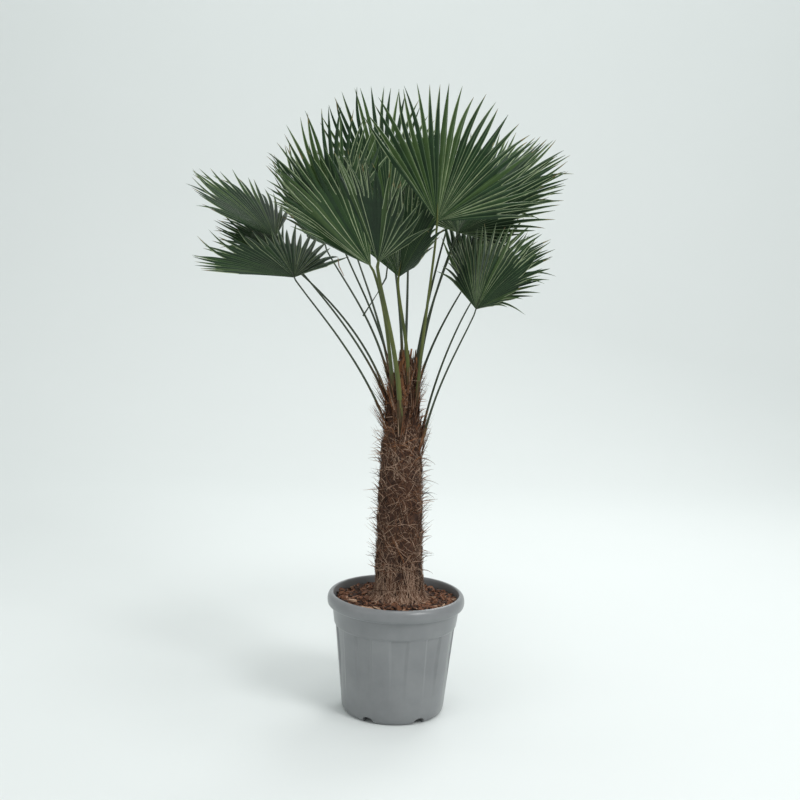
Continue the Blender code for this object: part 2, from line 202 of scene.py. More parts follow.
class Sheet:
    """Points, faces and a material slot for each face, gathered for one piece."""

    def __init__(self):
        self.points = []
        self.faces = []
        self.slots = []

    def add(self, points, faces, slots):
        base = len(self.points)
        self.points += [tuple(map(float, p)) for p in points]
        self.faces += [tuple(base + i for i in face) for face in faces]
        self.slots += [slots] * len(faces) if isinstance(slots, int) else list(slots)

    def piece(self, name, mats, smooth=True, nodes=()):
        mesh = bpy.data.meshes.new(name)
        mesh.from_pydata(self.points, [], self.faces)
        for mat in mats:
            mesh.materials.append(mat)
        mesh.polygons.foreach_set("material_index", self.slots)
        mesh.polygons.foreach_set("use_smooth", [smooth] * len(self.faces))
        mesh.update()
        body = bpy.data.objects.new(name, mesh)
        scene.collection.objects.link(body)
        if nodes:
            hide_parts(*nodes)
        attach(body, "root")
        return body


def grid_faces(rows, columns, closed):
    """Quads of a grid of points, row by row, closed round each row or open."""
    faces = []
    for row in range(rows - 1):
        for i in range(columns if closed else columns - 1):
            j = (i + 1) % columns
            faces.append((row * columns + i, row * columns + j,
                          (row + 1) * columns + j, (row + 1) * columns + i))
    return faces


def strand(sheet, path, widths, face_to, slot):
    """A thin strip along a path, its flat side toward the given direction at each point."""
    points = []
    for k, p in enumerate(path):
        ahead_k = path[min(k + 1, len(path) - 1)] - path[max(k - 1, 0)]
        across = np.cross(ahead_k, face_to[k])
        across = across / (np.linalg.norm(across) + 1e-12)
        points.append(p - across * widths[k] / 2)
        points.append(p + across * widths[k] / 2)
    faces = [(2 * k, 2 * k + 1, 2 * k + 3, 2 * k + 2) for k in range(len(path) - 1)]
    sheet.add(points, faces, slot)


# floor

FLOOR_HALF = 9.0
SWEEP_START = 3.0
SWEEP_RADIUS = 2.5


def make_floor():
    sheet = Sheet()
    profile = [(-FLOOR_HALF, 0.0), (SWEEP_START, 0.0)]
    profile += [(SWEEP_START + SWEEP_RADIUS * sin(a), SWEEP_RADIUS - SWEEP_RADIUS * cos(a))
                for a in np.linspace(0.1, pi / 2, 14)]
    profile += [(SWEEP_START + SWEEP_RADIUS, FLOOR_HALF)]
    points = [(x, y, z) for y, z in profile for x in (-FLOOR_HALF, FLOOR_HALF)]
    sheet.add(points, grid_faces(len(profile), 2, False), 0)
    mesh = bpy.data.meshes.new("floor")
    mesh.from_pydata(sheet.points, [], sheet.faces)
    mesh.materials.append(FLOOR_PALE)
    mesh.polygons.foreach_set("use_smooth", [True] * len(sheet.faces))
    body = bpy.data.objects.new("floor", mesh)
    scene.collection.objects.link(body)


make_floor()


# pot

FLUTES = 10
NOTCHES = 6
COLLAR_FOOT = 0.247
FLUTE_FOOT = 0.060
FLUTE_DEPTH = 0.0042
FLUTE_TURN = 22.5
# half the flute's width in degrees at its foot and added by its top, and how its sides and foot run out
FLUTE_HALF = 6.6
FLUTE_WIDEN = 1.6
FLUTE_SIDE = 2.2
FLUTE_SIDE_OUT = 1.2
FLUTE_RUN_OUT = 0.55
FLUTE_HEAD_GAP = 0.002
POT_FLOOR = 0.0050
POT_COLUMNS = 360
FIRST_NOTCH = -90.0 + 32.0
NOTCH_HALF = 0.0155
NOTCH_SHOULDER = 0.0085
NOTCH_RISE = 0.0087
NOTCH_REACH = (0.1180, 0.160)

# outer wall from the underside's edge up over the rim: radius, height; the base, collar, lip and rim follow
# the same fit as the camera, the rest was set one by one
POT_OUTSIDE = [
    (0.1300, 0.0000), (0.1362, 0.0022), (0.1408, 0.0095), (0.1432, 0.0220),
    (0.1467, 0.0600), (0.1560, 0.1500), (0.1645, 0.2350), (0.1660, 0.2455),
    (0.1690, 0.2485), (0.1700, 0.2540), (0.1752, 0.2930), (0.1775, 0.2985),
    (0.1845, 0.2990), (0.1885, 0.3030), (0.1900, 0.3120), (0.1893, 0.3220),
    (0.1850, 0.3305), (0.1785, 0.3348), (0.1742, 0.3338), (0.1728, 0.3290),
]
# inner wall from the rim down to the floor
POT_INSIDE = [
    (0.1700, 0.2850), (0.1610, 0.2400), (0.1515, 0.1500), (0.1405, 0.0400),
    (0.1350, 0.0150), (0.1250, 0.0060),
]


def rounded(profile, times):
    """The profile with its corners cut and cut again, ends kept."""
    for _ in range(times):
        out = [profile[0]]
        for a, b in zip(profile[:-1], profile[1:]):
            a, b = np.array(a), np.array(b)
            out.append(tuple(a * 0.75 + b * 0.25))
            out.append(tuple(a * 0.25 + b * 0.75))
        out.append(profile[-1])
        profile = out
    return profile


def flute_depth(turn, height):
    """How far the wall is set back at this bearing, in metres."""
    if height >= COLLAR_FOOT - FLUTE_HEAD_GAP or height <= FLUTE_FOOT:
        return 0.0
    pitch = 360.0 / FLUTES
    off = abs((turn - FLUTE_TURN + pitch / 2) % pitch - pitch / 2)
    share = (height - FLUTE_FOOT) / (COLLAR_FOOT - FLUTE_FOOT)
    half = FLUTE_HALF + FLUTE_WIDEN * share
    side = min(1.0, max(0.0, (half + FLUTE_SIDE_OUT - off) / FLUTE_SIDE))
    return FLUTE_DEPTH * min(1.0, share / FLUTE_RUN_OUT) * side


def make_pot():
    columns = POT_COLUMNS
    outer = rounded(POT_OUTSIDE, 2)
    inner = rounded([POT_OUTSIDE[-1]] + POT_INSIDE, 1)[1:]
    sheet = Sheet()
    points = []
    for k, (radius, height) in enumerate(outer + inner):
        for i in range(columns):
            turn = 360.0 * i / columns
            r = radius - (flute_depth(turn, height) if k < len(outer) else 0.0)
            points.append((r * cos(radians(turn)), r * sin(radians(turn)), height))
    rows = len(outer) + len(inner)
    faces = grid_faces(rows, columns, True)
    last = (rows - 1) * columns
    points.append((0.0, 0.0, POT_FLOOR))
    points.append((0.0, 0.0, 0.0))
    for i in range(columns):
        j = (i + 1) % columns
        faces.append((last + i, last + j, rows * columns))
        faces.append((j, i, rows * columns + 1))
    sheet.add(points, faces, 0)
    pot = sheet.piece("pot_shell", [POT_GREY], nodes=("pot",))
    cut_notches(pot)


def face_outward(mesh):
    """Turns every face of a closed mesh outward, which the cut needs."""
    work = bmesh.new()
    work.from_mesh(mesh)
    bmesh.ops.recalc_face_normals(work, faces=work.faces)
    work.to_mesh(mesh)
    work.free()


def cut_notches(pot):
    """Drain openings through the rounded lower edge."""
    arch = [(-NOTCH_HALF, -0.004), (NOTCH_HALF, -0.004), (NOTCH_HALF, NOTCH_SHOULDER)]
    arch += [(NOTCH_HALF * cos(a), NOTCH_SHOULDER + NOTCH_RISE * sin(a))
             for a in np.linspace(0.3, pi - 0.3, 8)]
    arch += [(-NOTCH_HALF, NOTCH_SHOULDER)]
    points = []
    faces = []
    n = len(arch)
    for k in range(NOTCHES):
        turn = radians(FIRST_NOTCH + k * 360.0 / NOTCHES)
        out = np.array([cos(turn), sin(turn), 0.0])
        side = np.array([-sin(turn), cos(turn), 0.0])
        base = len(points)
        for reach in NOTCH_REACH:
            for across, height in arch:
                points.append(tuple(out * reach + side * across + np.array([0, 0, height])))
        for i in range(n):
            j = (i + 1) % n
            faces.append((base + i, base + n + i, base + n + j, base + j))
        faces.append(tuple(base + i for i in range(n)))
        faces.append(tuple(base + n + i for i in reversed(range(n))))
    mesh = bpy.data.meshes.new("notches")
    mesh.from_pydata(points, [], faces)
    face_outward(mesh)
    face_outward(pot.data)
    cutter = bpy.data.objects.new("notches", mesh)
    scene.collection.objects.link(cutter)
    cut = pot.modifiers.new("notches", "BOOLEAN")
    cut.operation = "DIFFERENCE"
    cut.object = cutter
    cut.solver = "EXACT"
    bpy.context.view_layer.update()
    graph = bpy.context.evaluated_depsgraph_get()
    finished = bpy.data.meshes.new_from_object(pot.evaluated_get(graph))
    pot.modifiers.clear()
    pot.data = finished
    bpy.data.objects.remove(cutter, do_unlink=True)


make_pot()


# soil and bark chips

SOIL_TOP = 0.3200
SOIL_EDGE = 0.3110
SOIL_RADIUS = 0.1695
SOIL_FLAT = 0.09
SOIL_SLOPE_END = 0.168
SOIL_WAVE = 0.0022
SOIL_GRAIN = 0.0016
SOIL_SINK = 0.002
SKIRT_FOOT = 0.29
CHIPS = 2300
CHIP_RADIUS = 0.164
# larger pale chips near the front edge: x, y and half the length
LARGE_CHIPS = [
    (-0.078, -0.128, 0.013), (-0.062, -0.136, 0.010), (-0.050, -0.118, 0.008),
    (0.108, -0.108, 0.013), (0.122, -0.086, 0.010), (-0.118, -0.060, 0.008),
]


def soil_height(x, y):
    """Level of the soil: flat round the trunk, lower toward the pot's wall, with low waves."""
    r = np.hypot(x, y)
    base = np.interp(r, [SOIL_FLAT, SOIL_SLOPE_END], [SOIL_TOP, SOIL_EDGE])
    return base + SOIL_WAVE * sin(61 * x + 3 * sin(47 * y)) * sin(53 * y + 1.0)


def make_soil():
    sheet = Sheet()
    columns, rows = 160, 40
    points = []
    for row in range(rows):
        r = SOIL_RADIUS * (1 - row / rows)
        for i in range(columns):
            a = 2 * pi * i / columns
            x, y = r * cos(a), r * sin(a)
            points.append((x, y, soil_height(x, y) + SOIL_GRAIN * rng.uniform(-1, 1) - SOIL_SINK))
    faces = grid_faces(rows, columns, True)
    points.append((0.0, 0.0, SOIL_TOP))
    last = (rows - 1) * columns
    for i in range(columns):
        faces.append((last + i, last + (i + 1) % columns, len(points) - 1))
    skirt = [(SOIL_RADIUS * cos(2 * pi * i / columns), SOIL_RADIUS * sin(2 * pi * i / columns),
              SKIRT_FOOT) for i in range(columns)]
    base = len(points)
    points += skirt
    for i in range(columns):
        j = (i + 1) % columns
        faces.append((base + i, base + j, j, i))
    sheet.add(points, faces, 0)
    sheet.piece("soil_bed", [SOIL_DARK], nodes=("soil",))


def chip(sheet, place, size, heading, lean, slot):
    """One split chip of bark: a skewed slab with uneven ends."""
    turn = Matrix.Rotation(heading, 3, "Z")
    turn = turn @ Matrix.Rotation(lean[0], 3, "X") @ Matrix.Rotation(lean[1], 3, "Y")
    points = []
    for sz in (-1, 1):
        for sx, sy in ((-1, -1), (1, -1), (1.25, 0.1), (1, 1), (-1, 1), (-1.2, -0.1)):
            p = Vector((sx * size[0] * rng.uniform(0.75, 1.1), sy * size[1] * rng.uniform(0.7, 1.1),
                        sz * size[2] * rng.uniform(0.6, 1.1)))
            points.append(Vector(place) + turn @ p)
    faces = [(5, 4, 3, 2, 1, 0), (6, 7, 8, 9, 10, 11)]
    faces += [(i, (i + 1) % 6, 6 + (i + 1) % 6, 6 + i) for i in range(6)]
    sheet.add(points, faces, slot)


def make_chips():
    sheet = Sheet()
    for _ in range(CHIPS):
        r = CHIP_RADIUS * np.sqrt(rng.uniform(0.16, 1.0))
        a = rng.uniform(0, 2 * pi)
        x, y = r * cos(a), r * sin(a)
        long = rng.choice([0.0035, 0.0055, 0.0085], p=[0.5, 0.35, 0.15]) * rng.uniform(0.8, 1.25)
        size = (long, long * rng.uniform(0.35, 0.6), long * rng.uniform(0.15, 0.3))
        lean = (rng.normal(0, 0.35), rng.normal(0, 0.3))
        slot = int(rng.choice([CHIP_BROWN, CHIP_RED, CHIP_DARK, CHIP_PALE], p=[0.42, 0.22, 0.335, 0.025]))
        chip(sheet, (x, y, soil_height(x, y) + rng.uniform(-0.001, 0.004)), size,
             rng.uniform(0, 2 * pi), lean, slot)
    for x, y, long in LARGE_CHIPS:
        chip(sheet, (x, y, soil_height(x, y) + 0.007), (long * 1.25, long * 0.75, long * 0.26),
             rng.uniform(-0.5, 0.5), (rng.normal(0, 0.3), rng.normal(0, 0.3)), CHIP_PALE)
    sheet.piece("bark_chips", CHIP_TONES, smooth=False)


make_soil()
make_chips()


# trunk

TRUNK_FOOT = SOIL_TOP + FIT_GAP
STEM_TOP = 0.990
FIBRE_TOP = 0.985
GOLDEN_TURN = 137.5
# old leaf bases: how many, the lowest foot, the step up, the height of each and half its width in radians
LEAF_BASES = 64
BASE_FOOT = 0.325
BASE_STEP = 0.0098
BASE_HEIGHT = 0.062
BASE_HALF_TURN = 0.75
# stem: how deep it lies under the solid's surface, its relief and the waves that make the fine part
STEM_SINK = 0.0045
BASE_RELIEF = 0.0062
FINE_RELIEF = 0.0013
FINE_WAVES = 46
# fibres
MAT_SINK = 0.0025
MAT_FIBRES = 4300
MAT_STEPS = 7
LOOSE_HAIRS = 900
FOOT_FIBRES = 620
# torn tongues at the top: how many, the lowest foot, the step up and the first bearing
SHEATHS = 64
SHEATH_FOOT = 0.790
SHEATH_STEP = 0.0028
SHEATH_TURN = 40.0
SHEATH_TOP = 1.010
# height, middle x, middle y, radius
TRUNK_ROWS = [
    (TRUNK_FOOT, 0.007, 0.000, 0.0850), (0.333, 0.007, 0.000, 0.0760),
    (0.350, 0.007, 0.000, 0.0695), (0.400, 0.006, 0.000, 0.0660),
    (0.470, 0.004, 0.000, 0.0640), (0.540, 0.003, 0.000, 0.0635),
    (0.610, 0.002, 0.000, 0.0615), (0.680, 0.001, 0.000, 0.0580),
    (0.740, 0.000, 0.000, 0.0540), (0.790, 0.000, 0.000, 0.0490),
    (0.840, 0.000, 0.000, 0.0450), (0.885, 0.000, 0.000, 0.0400),
    (0.920, 0.002, 0.000, 0.0340), (0.950, 0.005, 0.000, 0.0270),
    (0.975, 0.008, 0.000, 0.0200), (0.992, 0.010, 0.000, 0.0110),
]


def trunk_centre(height):
    heights = [row[0] for row in TRUNK_ROWS]
    return (np.interp(height, heights, [row[1] for row in TRUNK_ROWS]),
            np.interp(height, heights, [row[2] for row in TRUNK_ROWS]))


def trunk_lump(height, turn):
    """Share of the row's radius at this bearing: the old leaf bases show as low swellings."""
    if height == TRUNK_FOOT:
        return 0.98 + 0.05 * sin(7 * turn)
    return 0.98 + 0.030 * sin(5 * turn + height * 40.0) + 0.018 * sin(8 * turn - height * 63.0)


def trunk_surface(height, turn):
    heights = [row[0] for row in TRUNK_ROWS]
    return np.interp(height, heights, [row[3] * trunk_lump(row[0], turn) for row in TRUNK_ROWS])


def leaf_base_relief(z, turn):
    """Height of the overlapping old leaf bases above the stem, for arrays of heights and bearings."""
    rise = np.zeros_like(z)
    for j in range(LEAF_BASES):
        foot = BASE_FOOT + j * BASE_STEP
        middle = radians(j * GOLDEN_TURN)
        off = (turn - middle + pi) % (2 * pi) - pi
        up = (z - foot) / BASE_HEIGHT
        inside = (up > 0) & (up < 1)
        wide = BASE_HALF_TURN * (1 - 0.55 * up ** 2)
        shape = np.clip(1 - (off / wide) ** 2, 0, 1) * np.clip(up, 0, 1) ** 0.8
        rise = np.maximum(rise, np.where(inside, shape, 0.0))
    return rise


def trunk_point(z, turn, out):
    """Point a little under the stem's surface, plus the given height above it."""
    cx, cy = trunk_centre(z)
    r = trunk_surface(z, turn) - MAT_SINK + out
    return np.array([cx + r * cos(turn), cy + r * sin(turn), z])


def make_trunk():
    """The dark stem under the fibres, with the relief of the old leaf bases."""
    columns, rows = 190, 250
    heights = np.linspace(TRUNK_FOOT, STEM_TOP, rows)
    turns = np.linspace(0, 2 * pi, columns, endpoint=False)
    z, t = np.meshgrid(heights, turns, indexing="ij")
    rise = leaf_base_relief(z, t)
    fine = np.zeros_like(z)
    for _ in range(FINE_WAVES):
        around = int(rng.integers(5, 60))
        fine += np.sin(around * t + rng.uniform(-160, 160) * z + rng.uniform(0, 2 * pi)) / FINE_WAVES ** 0.5
    points = []
    for row in range(rows):
        cx, cy = trunk_centre(heights[row])
        shrink = np.interp(heights[row], [0.90, 0.99], [1.0, 0.35])
        for i in range(columns):
            r = trunk_surface(heights[row], turns[i]) - STEM_SINK
            r += (BASE_RELIEF * rise[row, i] + FINE_RELIEF * fine[row, i]) * shrink
            points.append((cx + r * cos(turns[i]), cy + r * sin(turns[i]), heights[row]))
    faces = grid_faces(rows, columns, True)
    cx, cy = trunk_centre(STEM_TOP)
    points.append((cx, cy, STEM_TOP + 0.001))
    last = (rows - 1) * columns
    for i in range(columns):
        faces.append((last + i, last + (i + 1) % columns, len(points) - 1))
    sheet = Sheet()
    sheet.add(points, faces, 0)
    sheet.piece("trunk_stem", [TRUNK_DARK], nodes=("trunk",))


def fibre_tone(z0, orange_shares, pale, brown):
    """Slot of one fibre: orange grows commoner up the trunk, the rest is dealt by share."""
    orange = np.interp(z0, [0.70, 0.90], orange_shares)
    tone = rng.uniform()
    if tone < orange:
        return ORANGE
    if tone > 1 - pale:
        return PALE
    return BROWN if tone > brown else DARK


def make_fibre_mat():
    """The mat of fibres that cross each other over the stem."""
    sheet = Sheet()
    for _ in range(MAT_FIBRES):
        z0 = rng.uniform(TRUNK_FOOT + 0.004, 0.955)
        a0 = rng.uniform(0, 2 * pi)
        length = rng.uniform(0.025, 0.085)
        heading = rng.choice([-1, 1]) * radians(rng.normal(38, 20))
        bend = rng.normal(0, 0.8)
        lift = rng.uniform(0.0, 0.0042)
        path, faces_to = [], []
        z, a = z0, a0
        for k in range(MAT_STEPS):
            share = k / (MAT_STEPS - 1)
            hump = lift + 0.003 * sin(pi * share) * rng.uniform(0.4, 1.0)
            path.append(trunk_point(min(z, FIBRE_TOP), a, hump))
            faces_to.append(np.array([cos(a), sin(a), 0.0]))
            h = heading + bend * share
            step = length / (MAT_STEPS - 1)
            z = max(TRUNK_FOOT + 0.001, z + step * cos(h))
            a += step * sin(h) / max(0.02, trunk_surface(min(z, FIBRE_TOP), a))
        wide = rng.choice([0.0006, 0.0011, 0.0019], p=[0.5, 0.36, 0.14])
        pale = np.interp(z0, [0.36, 0.46, 0.62], [0.52, 0.30, 0.22])
        slot = fibre_tone(z0, [0.02, 0.55], pale, 0.34)
        widths = [wide * (1 - 0.6 * k / MAT_STEPS) for k in range(MAT_STEPS)]
        strand(sheet, path, widths, faces_to, slot)
    sheet.piece("trunk_fibre_mat", FIBRE_TONES)


def add_hairs(loose):
    """Loose hairs that stand off the mat."""
    shares = np.linspace(0, 1, 6)
    for _ in range(LOOSE_HAIRS):
        z0 = rng.uniform(0.40, 0.945)
        a0 = rng.uniform(0, 2 * pi)
        length = rng.uniform(0.014, 0.048)
        out = np.array([cos(a0), sin(a0), 0.0])
        side = np.array([-sin(a0), cos(a0), 0.0])
        way = unit(out * rng.uniform(0.5, 1.2) + side * rng.normal(0, 0.5)
                   + np.array([0, 0, rng.uniform(-0.1, 1.4)]))
        start = trunk_point(z0, a0, 0.001)
        droop = rng.uniform(-0.15, 0.45)
        path = [start + way * length * s - np.array([0, 0, 1.0]) * droop * length * s * s
                + side * 0.15 * length * sin(3 * s) for s in shares]
        wide = rng.uniform(0.0010, 0.0028)
        slot = fibre_tone(z0, [0.05, 0.6], 0.34, 0.30)
        strand(loose, path, [wide * (1 - 0.85 * s) for s in shares], [side] * 6, slot)


def add_foot_fibres(loose):
    """Fine pale fibres that run down the foot and spread over the soil."""
    for _ in range(FOOT_FIBRES):
        a0 = rng.uniform(0, 2 * pi)
        path, faces_to = [], []
        reach = rng.uniform(0.010, 0.034)
        swing = rng.normal(0, 0.45)
        climb = rng.choice([0.02, 0.05, 0.10], p=[0.3, 0.4, 0.3]) * rng.uniform(0.6, 1.2)
        for s in np.linspace(0, 1, 6):
            a = a0 + swing * s
            z = TRUNK_FOOT + climb * (1 - s) ** 2 + 0.0015
            p = trunk_point(z, a, 0.002)
            if s > 0.6:
                p = p + np.array([cos(a), sin(a), 0.0]) * reach * (s - 0.6)
            path.append(p)
            faces_to.append(np.array([cos(a), sin(a), 0.8]))
        wide = rng.uniform(0.0006, 0.0014)
        strand(loose, path, [wide] * 6, faces_to, int(rng.choice([BROWN, PALE], p=[0.45, 0.55])))


def make_loose_fibres():
    loose = Sheet()
    add_hairs(loose)
    add_foot_fibres(loose)
    loose.piece("trunk_loose_fibres", FIBRE_TONES)


def make_sheaths():
    """Torn tongues of woven fibre that wrap the top of the trunk between the stalks."""
    sheet = Sheet()
    for j in range(SHEATHS):
        foot = SHEATH_FOOT + j * SHEATH_STEP + rng.uniform(-0.018, 0.018)
        middle = radians(j * GOLDEN_TURN + SHEATH_TURN)
        tall = rng.uniform(0.040, 0.080)
        half = rng.uniform(0.08, 0.24)
        slant = rng.normal(0, 0.25)
        if foot > 0.85:
            tone = int(rng.choice([DARK, BROWN, ORANGE], p=[0.30, 0.34, 0.36]))
        else:
            tone = int(rng.choice([DARK, BROWN]))
        rows, columns = 9, 7
        points = []
        for k in range(rows):
            s = k / (rows - 1)
            for i in range(columns):
                c = 2 * i / (columns - 1) - 1
                a = middle + slant * s + half * c * (1 - s ** 2.6)
                z = foot + tall * s * (1 - 0.25 * c * c) + rng.uniform(-0.0015, 0.0015)
                z = min(z, SHEATH_TOP)
                level_z = min(z, FIBRE_TOP)
                cx, cy = trunk_centre(level_z)
                r = trunk_surface(level_z, a) + 0.0015 + 0.0075 * s * s + rng.uniform(0, 0.0008)
                points.append((cx + r * cos(a), cy + r * sin(a), z))
        sheet.add(points, grid_faces(rows, columns, False), tone)
    sheet.piece("trunk_sheaths", FIBRE_TONES)


make_trunk()
make_fibre_mat()
make_loose_fibres()
make_sheaths()


# fronds

def frond(hub, az, el, roll, spread, fold, bow, sag, reach, short, foot, lean, thick):
    """One row of the table below, as a dictionary."""
    return {"hub": np.array(hub), "az": az, "el": el, "roll": roll,
            "spread_l": spread[0], "spread_r": spread[1], "fold_l": fold[0], "fold_r": fold[1],
            "bow": bow, "sag": sag, "reach": reach, "short": short,
            "foot_z": foot[0], "foot_az": foot[1], "lean": lean, "thick": thick}


# one fan a row: its hub in metres, worked out by a camera program from a pixel read by eye and a chosen
# depth; bearing, rise and roll in degrees, spreads and folds to the left and right, bow, sag, reach and
# taper, which are rounded results of a fit to leaflet tips read by eye, though eight rows hold some spreads,
# folds, bows and sags and one taper as set by hand; then, set by hand, the height and bearing of the stalk's
# foot, its lean and its half thickness
FRONDS = [
    frond((0.070, -0.160, 1.357), 106, 85, 16, (44, 87), (5, 48), 0.006, 0.062, 0.374, 0.33,
          (0.860, -40), 3, 0.0055),
    frond((0.179, -0.160, 1.136), 25, 70, 38, (65, 81), (-30, 53), 0.071, 0.097, 0.262, 0.32,
          (0.745, -22), 10, 0.0042),
    frond((-0.093, -0.200, 1.239), -45, 130, -5, (26, 72), (12, -17), 0.078, -0.018, 0.371, 0.30,
          (0.880, -125), 10, 0.0060),
    frond((-0.289, -0.170, 1.202), 114, 28, -13, (84, 51), (17, -39), 0.038, 0.036, 0.309, 0.23,
          (0.815, 200), 24, 0.0042),
    frond((-0.362, 0.060, 1.294), 118, 37, 16, (90, 35), (10, -13), 0.062, 0.034, 0.319, 0.29,
          (0.872, 177), 24, 0.0042),
    frond((-0.185, 0.030, 1.317), 125, 85, 6, (78, 40), (-11, 4), 0.030, 0.013, 0.342, 0.53,
          (0.930, 165), 12, 0.0042),
    frond((0.133, 0.040, 1.326), 42, 55, -1, (82, 99), (13, 1), 0.074, 0.066, 0.363, 0.34,
          (0.920, 15), 4, 0.0042),
    frond((-0.075, -0.250, 1.250), -84, 47, -49, (34, 42), (5, 5), 0.047, -0.006, 0.331, 0.10,
          (0.790, -95), 3, 0.0070),
    frond((0.173, 0.250, 1.374), 35, 49, 15, (60, 80), (5, 14), 0.046, 0.055, 0.350, 0.32,
          (0.900, 55), 14, 0.0042),
    frond((-0.061, 0.280, 1.366), 132, 79, -1, (45, 42), (5, 5), 0.020, 0.020, 0.389, 0.12,
          (0.930, 100), 12, 0.0042),
    frond((-0.349, 0.170, 1.237), 161, 37, -13, (65, 54), (5, 8), 0.017, 0.085, 0.230, 0.29,
          (0.885, 186), 20, 0.0042),
    frond((-0.238, 0.250, 1.275), 173, 69, -18, (75, 60), (14, 18), 0.040, 0.021, 0.315, 0.34,
          (0.890, 140), 16, 0.0042),
    frond((0.172, -0.030, 1.143), 14, 57, 35, (60, 73), (26, 25), 0.032, 0.126, 0.275, 0.31,
          (0.775, 12), 10, 0.0042),
    frond((0.154, 0.130, 1.167), 48, 48, 27, (42, 55), (17, 16), 0.071, 0.073, 0.339, 0.31,
          (0.880, 40), 14, 0.0042),
    frond((-0.022, -0.050, 1.206), 42, 79, 5, (61, 78), (29, 37), 0.011, 0.082, 0.310, 0.31,
          (0.915, -75), 2, 0.0055),
    frond((-0.167, 0.400, 1.294), 116, 67, 3, (70, 50), (8, 4), 0.050, 0.025, 0.315, 0.41,
          (0.860, 122), 16, 0.0042),
    frond((-0.002, 0.460, 1.316), 96, 60, -11, (50, 70), (8, 8), 0.050, 0.050, 0.384, 0.36,
          (0.880, 88), 18, 0.0042),
    frond((0.125, 0.360, 1.380), 63, 56, 8, (71, 79), (18, 9), 0.050, 0.033, 0.326, 0.28,
          (0.850, 68), 16, 0.0042),
]

LEAFLET_PITCH = 4.7
SPLIT = 0.60
STALK_SHORT = 0.014


def fan_axes(f):
    """Middle leaflet's direction, the blade's side and its upper normal."""
    az, el, roll = radians(f["az"]), radians(f["el"]), radians(f["roll"])
    along = np.array([cos(el) * cos(az), cos(el) * sin(az), sin(el)])
    level = np.array([-sin(el) * cos(az), -sin(el) * sin(az), cos(el)])
    across = np.cross(along, level)
    up = level * cos(roll) + across * sin(roll)
    return along, np.cross(along, up), up


def leaf_length(q, f):
    """How far out the leaflet at this angle reaches: shorter toward the fan's sides."""
    wide = abs(q) / max(f["spread_l"], f["spread_r"])
    return f["reach"] * (1.0 - f["short"] * wide ** 2.2)


def blade_point(q, r, f):
    """Point of the blade at angle q in degrees and r metres from the hub."""
    along, side, up = fan_axes(f)
    fold = f["fold_r"] if q > 0 else f["fold_l"]
    turn = radians(fold) * min(1.0, abs(q) / 90.0)
    hand = 1.0 if q > 0 else -1.0
    g = radians(q)
    d = along * cos(g) + abs(sin(g)) * (side * hand * cos(turn) + up * sin(turn))
    size = f["reach"]
    bow = f["bow"] * (r / size) ** 2 * size
    sag = f["sag"] * (r / size) ** 2.5 * size
    return f["hub"] + d * r - up * bow - np.array([0, 0, sag])


def blade_normal(q, r, f):
    """Upper normal of the blade at this place."""
    a = blade_point(q, r + 0.002, f) - blade_point(q, r, f)
    b = blade_point(q + 1.0, max(r, 0.02), f) - blade_point(q - 1.0, max(r, 0.02), f)
    return unit(np.cross(a, b))


def leaflet_edges(f):
    """Angles of the lines between the leaflets, in degrees."""
    count = int(round((f["spread_l"] + f["spread_r"]) / LEAFLET_PITCH))
    return np.linspace(-f["spread_l"], f["spread_r"], count + 1)


def split_length(q, f):
    """How far out the leaflet at this angle is still joined to its neighbours."""
    return SPLIT * leaf_length(q, f)


def stalk_path(f, steps):
    """Points along the stalk from the trunk to the blade."""
    z0 = f["foot_z"]
    bearing = radians(f["foot_az"])
    out = np.array([cos(bearing), sin(bearing), 0.0])
    cx, cy = trunk_centre(z0)
    start = np.array([cx, cy, z0]) + out * (trunk_surface(z0, bearing) + 0.95 * f["thick"] + FIT_GAP)
    along, _, _ = fan_axes(f)
    near = f["hub"] - along * STALK_SHORT
    lean = radians(f["lean"])
    go = np.array([0, 0, cos(lean)]) + out * sin(lean)
    span = np.linalg.norm(near - start)
    p1 = start + go * span * 0.40
    arrive = unit(0.55 * unit(near - p1) + 0.45 * along)
    p2 = near - arrive * span * 0.22
    path = []
    for t in np.linspace(0.0, 1.0, steps):
        path.append((1 - t) ** 3 * start + 3 * (1 - t) ** 2 * t * p1
                    + 3 * (1 - t) * t ** 2 * p2 + t ** 3 * near)
    return path


CORE_STEPS = 5
FREE_STEPS = 9
RIB_HALF = 0.0006
EDGE_WIDE = 0.0012
# how near the solid's outline counts as reached, and the step of the search along a leaflet
REACHED = 0.0036
SEARCH_STEP = 0.002
# depth of the pleat as a share of half its width, at the split and added by the tip
PLEAT = 0.62
PLEAT_TIP = 0.15
# how far a free leaflet's tip nods and sways from the solid's line, in metres, as a normal spread
NOD = 0.014
SWAY = 0.007
# shares of leaflets: with a painted highlight on the edges from the hub on, in the fan's own green, with a
# painted highlight on the free edges only, with a dried tip, and with a tip that is dried one step further
# in
EDGE_HIGHLIGHT_SHARE = 0.42
OWN_GREEN_SHARE = 0.6
FREE_EDGE_HIGHLIGHT_SHARE = 0.62
TIPPED_SHARE = 0.35
LONG_TIP_SHARE = 0.2
STALK_STEPS = 26
STALK_SIDES = 12
# the stalk's last points: how far out under the blade, how far below it, and share of the thickness
STALK_TAIL = [(0.0, 0.0015, 0.46), (0.018, 0.0022, 0.30), (0.045, 0.0024, 0.06)]
FOOT_STRANDS = 34
# share of leaflets with dried tips on the older fans
TIPPED = {11: 0.85, 12: 0.8, 15: 0.85, 16: 0.8, 9: 0.8}


def cad_tips(node):
    """Search tree of a CAD blade's corners, so that a leaflet stops where the solid one does."""
    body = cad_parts[node]
    tree = KDTree(len(body.data.vertices))
    for i, v in enumerate(body.data.vertices):
        tree.insert(body.matrix_world @ v.co, i)
    tree.balance()
    return tree


